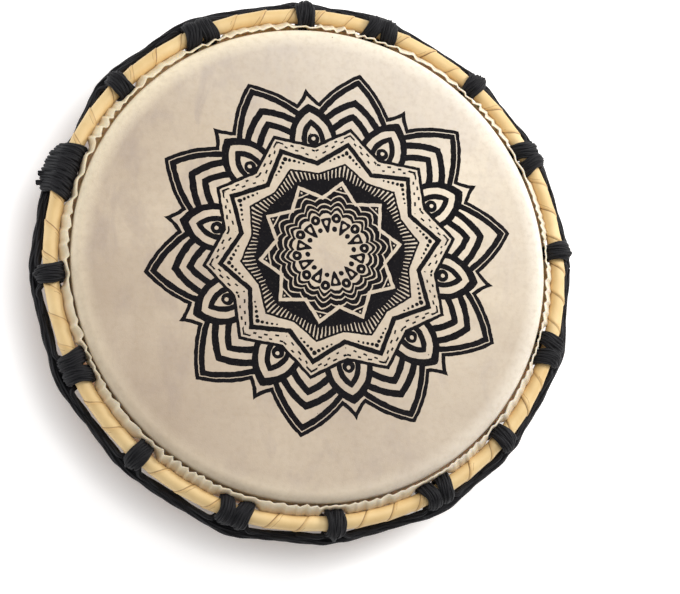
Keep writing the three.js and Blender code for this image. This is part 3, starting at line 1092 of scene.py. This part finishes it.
def around(turn, along, outward, upward):
    # a place by the hoop: along its run from a turn, outward from and above its centre line
    here = turn + along / hoopRadius
    return polar(hoopRadius + float(swellAt(here)) + outward, here, hoopHeight + upward)


# belt: it passes outside each hitch and runs straight to the next one

belt = {
    "strands": 4,
    "halfWidth": 0.0018,
    "halfHeight": 0.0008,
    "inward": 0.0003,
    "lay": 6,
    "corners": {  # half the length of the bend round a hitch, and its bulge
        "narrow": (0.0062, 0.0001), "double": (0.0115, 0.0012), "wrap": (0.018, 0)},
    "cornerShares": (-1.15, -0.6, 0, 0.6, 1.15),
    "wrapDraw": (-0.0062, -0.0045, -0.0028, -0.0024, -0.0016),
    "longRun": 0.015,
    "runSteps": 4,
    "nudge": 0.001,
    "sway": 0.0003,
    "seed": 21,
}


def findBeltCorners():
    # the turn and reach of each place where the belt bends
    corners = []
    for middle, kind in zip(hitchTurns, hitchKinds):
        half, bulge = belt["corners"][kind]
        for step, share in enumerate(belt["cornerShares"]):
            turn = middle + share * half / hoopRadius
            arch = bulge * (1 - (share / belt["cornerShares"][-1]) ** 2)
            draw = belt["wrapDraw"][step] if kind == "wrap" else 0
            reach = beltRadius - belt["inward"] + float(swellAt(turn)) + arch + draw
            corners.append((turn, reach))
    return corners


beltCorners = findBeltCorners()


def beltReachAt(turn):
    # how far out the belt runs at a turn, on the straight line between two corners
    turn = turn % fullTurn
    ahead = next((index for index, corner in enumerate(beltCorners) if corner[0] > turn), 0)
    (firstX, firstY, _), (nextX, nextY, _) = (
        polar(reach, angle, 0) for angle, reach in (beltCorners[ahead - 1], beltCorners[ahead]))
    cross = firstX * nextY - firstY * nextX
    return cross / (math.cos(turn) * (nextY - firstY) - math.sin(turn) * (nextX - firstX))


# hitches: turns of rope round the hoop, which leave it to run on in the belt

hitch = {
    "pitch": 0.0016,
    "startAngle": -0.9,
    "narrowTurns": 5.4,
    "doubleTurns": 4.9,
    "pointsPerTurn": 26,
    "ropeReach": 0.0062,
    "innerSqueeze": 0.0006,
    "vGap": 0.0025,
    "vStart": 0.2,
    "skew": 0.4,
    "bulge": 0.0015,
    "waver": 0.00042,
    "waverPitch": (2.1, 0.83, 1.37),
    "waverShares": (0.7, 0.6),
    "crossTurns": 1.2,
    "crossRise": 0.0011,
    "crossEase": 4,
    "lead": 0.016,
    "leadSteps": ((1, 0.0006, 0.0012), (0.55, 0.0008, 0.0024), (0.15, 0.0012, 0.0042)),
    "seed": 3,
}


def turnPlace(index, angle, along, reach):
    # one place on a turn round the hoop; angle 0 points outward and a quarter turn is up
    pressed = reach - hitch["innerSqueeze"] * max(0.0, -math.cos(angle))
    return around(hitchTurns[index], along, pressed * math.cos(angle), pressed * math.sin(angle))


def leadPlaces(index, side, start):
    # the rope comes along the belt and rises to the hitch: (how far off, inward, upward)
    turn = hitchTurns[index]
    places = []
    for share, inward, rise in hitch["leadSteps"]:
        run = side * (start + hitch["lead"] * share)
        here = turn + run / hoopRadius
        outward = beltReachAt(here) - hoopRadius - float(swellAt(here)) - inward
        places.append(around(turn, run, outward, beltHeight - hoopHeight + rise))
    return places


def bandRoute(index, turns, centre, vGap, crossTurns, chance):
    # side-by-side turns, then some that cross back over them; vGap parts them by the drumhead
    starts = chance.uniform(0, 6.28, 3)
    pitches = hitch["waverPitch"]
    second, reachShare = hitch["waverShares"]
    route = []
    for step in range(int((turns + crossTurns) * hitch["pointsPerTurn"]) + 1):
        share = step / hitch["pointsPerTurn"]
        angle = hitch["startAngle"] + share * fullTurn
        inward = max(0.0, hitch["vStart"] - math.cos(angle)) / (1 + hitch["vStart"])
        back = max(0.0, share - turns) / max(crossTurns, 1.0)
        run = min(share, turns) - back * turns
        middle = 1 - (2 * run / turns - 1) ** 2
        waver, other, stray = (math.sin(pitch * angle + start)
                               for pitch, start in zip(pitches, starts))
        along = centre + (run - turns / 2) * hitch["pitch"] + vGap * inward + hitch["waver"] * stray
        reach = hitch["ropeReach"] + hitch["bulge"] * middle
        reach += hitch["waver"] * (waver + second * other) * reachShare
        reach += hitch["crossRise"] * min(1.0, back * hitch["crossEase"])
        route.append(turnPlace(index, angle, along, reach))
    return route


def makeHitch(index):
    chance = np.random.default_rng(hitch["seed"] + index)
    if hitchKinds[index] == "narrow":
        turns = hitch["narrowTurns"]
        half = turns / 2 * hitch["pitch"]
        skew = chance.uniform(-hitch["skew"], hitch["skew"]) * hitch["vGap"]
        route = bandRoute(index, turns, 0, skew, hitch["crossTurns"], chance)
    else:
        turns = hitch["doubleTurns"]
        half = turns * hitch["pitch"]
        route = []
        for side in (-1, 1):
            route += bandRoute(index, turns, side * half / 2, side * hitch["vGap"], 0, chance)
    places = leadPlaces(index, -1, half) + route + leadPlaces(index, 1, half)[::-1]
    makeRope(f"hitchRope{index + 1}", [(smoothRoute(places), False)], f"hitch_{index + 1}")


# end wrap: the rope's two ends are bound round hoop and belt together and cut off

endWrap = {
    "turns": 19,
    "pointsPerTurn": 30,
    "pitch": 0.0016,
    "shift": 0.0016,
    "fan": 0.10,
    "hoopReach": 0.0051,
    "hoopSwell": 0.0006,
    "beltReach": 0.0045,
    "farShares": (0.25, 0.5),
    "dropShares": (0.45, 0.55),
    "bulge": 0.0008,
    "strayWaves": ((1, 1.43, 0), (0.6, 0.61, 2)),
    "reachWave": (2.3, 1),
    "tails": ((0.0060, 0.0082), (0.0112, 0.0078)),  # where along the wrap, how long
    "tailStart": 0.7,
    "tailShape": ((-0.003, 0, 0.002), (-0.001, 0.4, 0.003), (0, 0.75, 0.0032), (0.0006, 1, 0.0024)),
}
beltFar = beltRadius - hoopRadius
beltDrop = beltHeight - hoopHeight


def wrapPlace(angle, along, middle, extra):
    # a turn that spans the hoop and, towards the wrap's middle, the belt behind it
    turn = hitchTurns[endWrapIndex]
    far, drop = (distance * (endShare + moreShare * middle) for distance, (endShare, moreShare)
                 in ((beltFar, endWrap["farShares"]), (beltDrop, endWrap["dropShares"])))
    side, rise = math.cos(angle), math.sin(angle)
    hoopReach = endWrap["hoopReach"] + endWrap["hoopSwell"] * middle + extra
    beltReach = endWrap["beltReach"] + extra
    if side * far + rise * drop + beltReach - hoopReach > 0:
        return around(turn, along, far + beltReach * side, drop + beltReach * rise)
    return around(turn, along, hoopReach * side, hoopReach * rise)


def makeEndWrap():
    turns = endWrap["turns"]
    pitch, start = endWrap["reachWave"]
    route = []
    for step in range(turns * endWrap["pointsPerTurn"] + 1):
        share = step / endWrap["pointsPerTurn"]
        angle = hitch["startAngle"] + share * fullTurn
        middle = math.sqrt(max(0.0, 1 - (2 * share / turns - 1) ** 2))
        stray = sum(height * math.sin(wave * angle + first)
                    for height, wave, first in endWrap["strayWaves"])
        fan = 1 - endWrap["fan"] * math.cos(angle)
        along = (endWrap["shift"] + (share - turns / 2) * endWrap["pitch"] * fan
                 + hitch["waver"] * stray)
        extra = endWrap["bulge"] * middle * max(0.0, math.cos(angle))
        extra += hitch["waver"] * math.sin(pitch * angle + start)
        route.append(wrapPlace(angle, along, middle, extra))
    turn = hitchTurns[endWrapIndex]
    routes = [(smoothRoute(route), False)]
    for along, length in endWrap["tails"]:
        tail = [around(turn, along + onward, beltFar * endWrap["tailStart"] + length * share,
                       beltDrop + rise) for onward, share, rise in endWrap["tailShape"]]
        routes.append((smoothRoute(tail), False))
    makeRope("endWrapRope", routes, f"hitch_{endWrapIndex + 1}")


for hitchIndex in range(len(hitchAngles)):
    if hitchIndex == endWrapIndex:
        makeEndWrap()
    else:
        makeHitch(hitchIndex)
print("hitches made")


# the belt's strands wander slowly across its flat section on the runs between its corners

def beltRoute(strand, chance):
    route = []
    for index, (turn, _) in enumerate(beltCorners):
        gap = (beltCorners[(index + 1) % len(beltCorners)][0] - turn) % fullTurn
        steps = belt["runSteps"] if gap * beltRadius > belt["longRun"] else 1
        for step in range(steps):
            here = turn + gap * (step + belt["nudge"]) / steps
            phase = belt["lay"] * here + strand * fullTurn / belt["strands"]
            swayOut, swayUp = chance.uniform(-1, 1, 2) * belt["sway"]
            out = beltReachAt(here) + belt["halfWidth"] * math.cos(phase) + swayOut
            route.append(polar(out, here, beltHeight + belt["halfHeight"] * math.sin(phase) + swayUp))
    return route


def makeBelt():
    chance = np.random.default_rng(belt["seed"])
    routes = []
    for strand in range(belt["strands"]):
        closed = beltRoute(strand, chance)
        routes.append((smoothRoute(closed + closed[:1])[:-1], True))
    makeRope("beltRope", routes, "belt_rope")


makeBelt()
print("belt made")


# tension cords and the wound ring they meet in

tension = {
    "startOutward": -0.002,
    "startBelowHoop": 0.0089,
    "slackOut": 0.0028,
    "slackHeight": 0.42,
    "bendRadius": 0.0024,
    "bendDegrees": (12, -15, -45, -75, -90),
    "floorRun": ((0.8, 0), (0.4, 0.0002)),  # share of the shell's radius, rise
    "ringEnd": (0.4, 0.0006),
    "ringRadius": 0.024,
    "ringTube": 0.004,
    "ringRise": 0.0003,
    "windings": 41,
    "pointsPerWinding": 16,
}


def makeTensionCord(index):
    bend = tension["bendRadius"]
    low = notchDepth - bend
    profile = [(hoopRadius + tension["startOutward"], hoopHeight - tension["startBelowHoop"]),
               (shellRadius + bend + tension["slackOut"], hoopHeight * tension["slackHeight"])]
    for degrees in tension["bendDegrees"]:
        angle = math.radians(degrees)
        profile.append((shellRadius + bend * math.cos(angle), notchDepth + bend * math.sin(angle)))
    profile += [(shellRadius * share, low + rise) for share, rise in tension["floorRun"]]
    share, rise = tension["ringEnd"]
    profile.append((tension["ringRadius"] + tension["ringTube"] * share, low + rise))
    route = smoothRoute([polar(reach, hitchTurns[index], height) for reach, height in profile])
    makeRope(f"tensionCord{index + 1}", [(route, False)], f"tension_cord_{index + 1}")


def makeCentreRing():
    tube = tension["ringTube"] - cordRadius
    middle = tension["ringTube"] + tension["ringRise"]
    count = tension["windings"] * tension["pointsPerWinding"]
    route = []
    for step in range(count):
        turn = step / count * fullTurn
        angle = turn * tension["windings"]
        route.append(polar(tension["ringRadius"] + tube * math.cos(angle), turn,
                           middle + tube * math.sin(angle)))
    makeRope("centreRingWinding", [(route, True)], "centre_ring")


for cordIndex in range(len(hitchAngles)):
    makeTensionCord(cordIndex)
makeCentreRing()
print("tension cords and centre ring made")


# wooden shell: a bent ring with a rounded bearing edge and a notch for each cord

shell = {
    "columns": 288,
    "wall": 0.009,
    "headGap": 0.0013,
    "edgeRounding": 0.0015,
    "bearingRounding": 0.0045,
    "roundingSteps": 4,
    "notchWidth": 0.0052,
    "notchSteps": 8,
    "notchOverlap": 0.004,
    "bevel": 0.0004,
    "bevelDegrees": 50,
}


def shellOutline():
    # four rounded corners: outer rear, outer front, inner front, inner rear
    inner = shellRadius - shell["wall"]
    top = headTop - shell["headGap"]
    small, large = shell["edgeRounding"], shell["bearingRounding"]
    corners = ((shellRadius - small, small, small), (shellRadius - large, top - large, large),
               (inner + small, top - small, small), (inner + small, small, small))
    points = []
    for index, (reach, height, rounding) in enumerate(corners):
        for step in range(shell["roundingSteps"] + 1):
            angle = math.radians(90 * (index - 1) + step * 90 / shell["roundingSteps"])
            points.append((reach + rounding * math.cos(angle), height + rounding * math.sin(angle)))
    return points


def notchCutter():
    # one slot with a round top for each cord, all in a single mesh
    points, faces = [], []
    half = shell["notchWidth"] / 2
    over = shell["notchOverlap"]
    outline = [(-half, -over)]
    for step in range(shell["notchSteps"] + 1):
        angle = math.pi - step * math.pi / shell["notchSteps"]
        outline.append((half * math.cos(angle), notchDepth - half + half * math.sin(angle)))
    outline.append((half, -over))
    count = len(outline)
    for turn in hitchTurns:
        start = len(points)
        for reach in (shellRadius - shell["wall"] - over, shellRadius + over):
            for side, height in outline:
                points.append((reach * math.cos(turn) - side * math.sin(turn),
                               reach * math.sin(turn) + side * math.cos(turn), height))
        faces.append(tuple(range(start, start + count)))
        faces.append(tuple(range(start + 2 * count - 1, start + count - 1, -1)))
        for index in range(count):
            ahead = (index + 1) % count
            faces.append((start + index, start + count + index, start + count + ahead, start + ahead))
    item = newPiece("notchCutter", points, faces, bentWood)
    turnOutward(item)
    return item


def makeShell():
    outline = shellOutline()
    points = []
    for reach, height in outline:
        points += ringPoints(reach, evenTurns(shell["columns"]), height)
    faces = gridFaces(len(outline), shell["columns"], True)
    item = newPiece("shellBlank", points, faces, bentWood)
    turnOutward(item)
    cutter = notchCutter()
    cut = item.modifiers.new("notches", "BOOLEAN")
    cut.object = cutter
    cut.operation = "DIFFERENCE"
    cut.solver = "EXACT"
    soften = item.modifiers.new("soften", "BEVEL")
    soften.width = shell["bevel"]
    soften.segments = 2
    soften.limit_method = "ANGLE"
    soften.angle_limit = math.radians(shell["bevelDegrees"])
    piece = bakeModifiers(item, "woodenShellRing")
    bpy.data.objects.remove(cutter)
    finishPiece(piece, "wood", "wooden_shell")


makeShell()
print("shell made")


# pale floor, which glows a little beyond the drum

floor = {
    "tone": (0.94, 0.94, 0.94, 1),
    "rough": 0.9,
    "glowReach": (0.150, 0.175),
    "glow": 0.45,
    "halfSize": 6.0,
}


def makeFloor():
    look = Look("paleFloor")
    reach = newNode(look.tree, "ShaderNodeVectorMath", {0: look.place}, operation="LENGTH")
    beyond = Field(look.tree, reach.outputs["Value"]).remap(*floor["glowReach"])
    look.set({
        "Base Color": floor["tone"],
        "Roughness": floor["rough"],
        "Emission Color": mixColour(look.tree, beyond, (0, 0, 0, 1), (1, 1, 1, 1)),
        "Emission Strength": floor["glow"]})
    half = floor["halfSize"]
    points = [(-half, -half, 0), (half, -half, 0), (half, half, 0), (-half, half, 0)]
    newPiece("paleFloor", points, [(0, 1, 2, 3)], look.material)


makeFloor()
